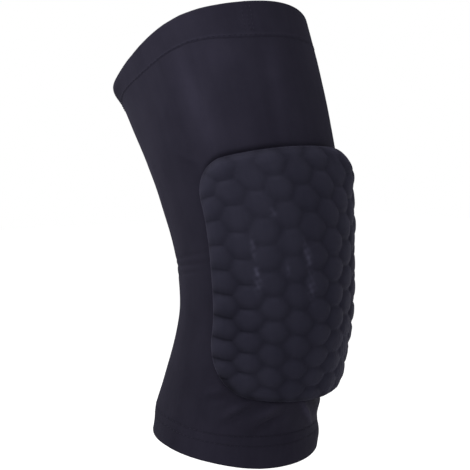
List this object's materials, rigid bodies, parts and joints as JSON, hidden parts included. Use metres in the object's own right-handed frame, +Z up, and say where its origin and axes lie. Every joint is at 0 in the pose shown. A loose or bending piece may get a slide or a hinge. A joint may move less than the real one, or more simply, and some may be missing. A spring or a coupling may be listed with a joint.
{
  "type": "basketball knee pad",
  "caption": "Stretch-knit knee sleeve, bent as worn, with turned hems at thigh and calf and a moulded honeycomb foam pad over the kneecap.",
  "frame": {"origin": "the middle of the knee, on the middle line of the leg that fills the sleeve", "axes": "+Z up the leg at the knee, -Y out of the front through the pad, +X to the viewer's right when the pad is seen from the front"},
  "size_m": [0.1326, 0.1883, 0.3051],
  "materials": {
    "sleeve_knit": "smooth matt stretch knit with a faint sheen, navy black",
    "hem_knit": "the same knit turned in double, with flat lines of stitching",
    "pad_knit": "knit moulded over foam cells, matt, navy black"
  },
  "bodies": {
    "root": {"sleeve": "sleeve_knit", "thigh_hem": "hem_knit", "calf_hem": "hem_knit", "honeycomb_pad": "pad_knit"}
  },
  "joints": []
}
